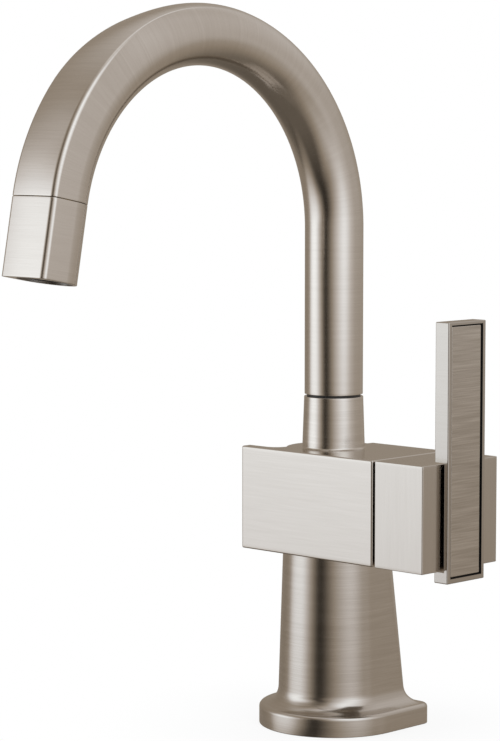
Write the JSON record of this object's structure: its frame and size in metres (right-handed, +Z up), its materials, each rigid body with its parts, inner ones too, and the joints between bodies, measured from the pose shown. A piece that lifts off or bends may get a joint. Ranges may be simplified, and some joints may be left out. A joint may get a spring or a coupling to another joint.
{
  "type": "beverage faucet",
  "caption": "Single-hole beverage faucet in brushed nickel: tapered pedestal, square valve block, flat side lever and a high arched swivel spout that goes from round to squared.",
  "frame": {"origin": "centre of the two stud holes, on the column's axis in the plane of the deck", "axes": "+Z up along the column and riser, -Y towards the outlet, +X towards the handle"},
  "size_m": [0.0935, 0.1818, 0.2709],
  "materials": {
    "brushed_nickel": "satin brushed nickel, fine lines across the flats and round the tubes",
    "brass": "turned brass",
    "steel_screws": "plain steel",
    "black_rubber": "moulded rubber",
    "black_plastic": "moulded plastic",
    "white_ceramic": "lapped ceramic"
  },
  "bodies": {
    "body": {"body_casting": "brushed_nickel", "base_gasket": "black_rubber", "inlet_fitting": "brass", "inlet_washer": "black_rubber", "cartridge_body": "brass", "seat_seal": "black_rubber", "fixed_disc": "white_ceramic", "cartridge_oring": "black_rubber", "bonnet_nut": "brass", "swivel_bush": "black_plastic", "lower_glide_ring": "black_plastic", "spout_set_screw": "steel_screws"},
    "handle": {"handle_hub": "brushed_nickel", "lever_frame": "brushed_nickel", "lever_inlay": "brushed_nickel", "lever_screws": "steel_screws", "hub_set_screw": "steel_screws", "cartridge_stem": "brass", "stem_oring": "black_rubber", "moving_disc": "white_ceramic"},
    "spout": {"spout_tube": "brushed_nickel", "swivel_shank": "brass", "spout_orings": "black_rubber", "nozzle": "brushed_nickel", "nozzle_adapter": "brass", "nozzle_oring": "black_rubber", "aerator_housing": "black_plastic", "aerator_screen": "black_plastic", "aerator_gasket": "black_rubber"}
  },
  "joints": [
    {"name": "spout_swivel", "type": "hinge", "parent": "body", "child": "spout", "pos_m": [0, 0, 0.126], "axis": [0, 0, 1], "continuous": true},
    {"name": "handle_turn", "type": "hinge", "parent": "body", "child": "handle", "pos_m": [0, 0, 0.08635], "axis": [1, 0, 0], "range_deg": [0, 90]}
  ]
}
